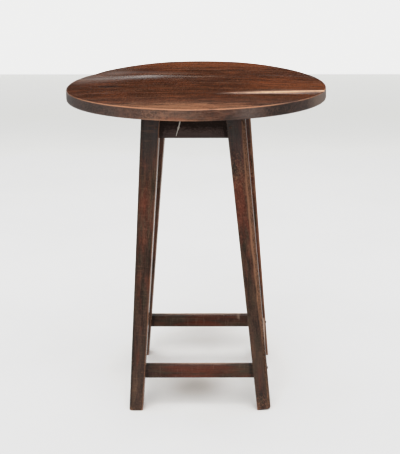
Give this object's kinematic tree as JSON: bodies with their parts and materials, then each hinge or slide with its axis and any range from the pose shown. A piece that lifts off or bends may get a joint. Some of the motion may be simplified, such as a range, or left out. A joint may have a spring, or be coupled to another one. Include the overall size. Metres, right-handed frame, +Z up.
{
  "type": "round side table",
  "caption": "Round plank top on four tapered, splayed square legs, joined by rails under the top and low box stretchers with pegged mortise and tenon joints.",
  "frame": {"origin": "on the floor, under the middle of the round top", "axes": "+Z up, +X to the sitter's right seen from the front, -Y towards the front"},
  "size_m": [0.554, 0.554, 0.7],
  "materials": {
    "top_wood": "old waxed oak, worn rim",
    "leg_wood": "dark aged oak, waxed",
    "rail_wood": "dark aged oak",
    "stretcher_wood": "aged oak, foot-worn",
    "peg_wood": "dark riven oak",
    "block_wood": "sawn, unpolished oak"
  },
  "bodies": {
    "root": {"top_board_front": "top_wood", "top_board_middle": "top_wood", "top_board_back": "top_wood", "leg_front_left": "leg_wood", "leg_front_right": "leg_wood", "leg_back_left": "leg_wood", "leg_back_right": "leg_wood", "rail_front": "rail_wood", "rail_back": "rail_wood", "rail_left": "rail_wood", "rail_right": "rail_wood", "stretcher_front": "stretcher_wood", "stretcher_back": "stretcher_wood", "stretcher_left": "stretcher_wood", "stretcher_right": "stretcher_wood", "rail_pegs": "peg_wood", "stretcher_pegs": "peg_wood", "board_dowels": "peg_wood", "top_blocks": "block_wood"}
  },
  "joints": []
}
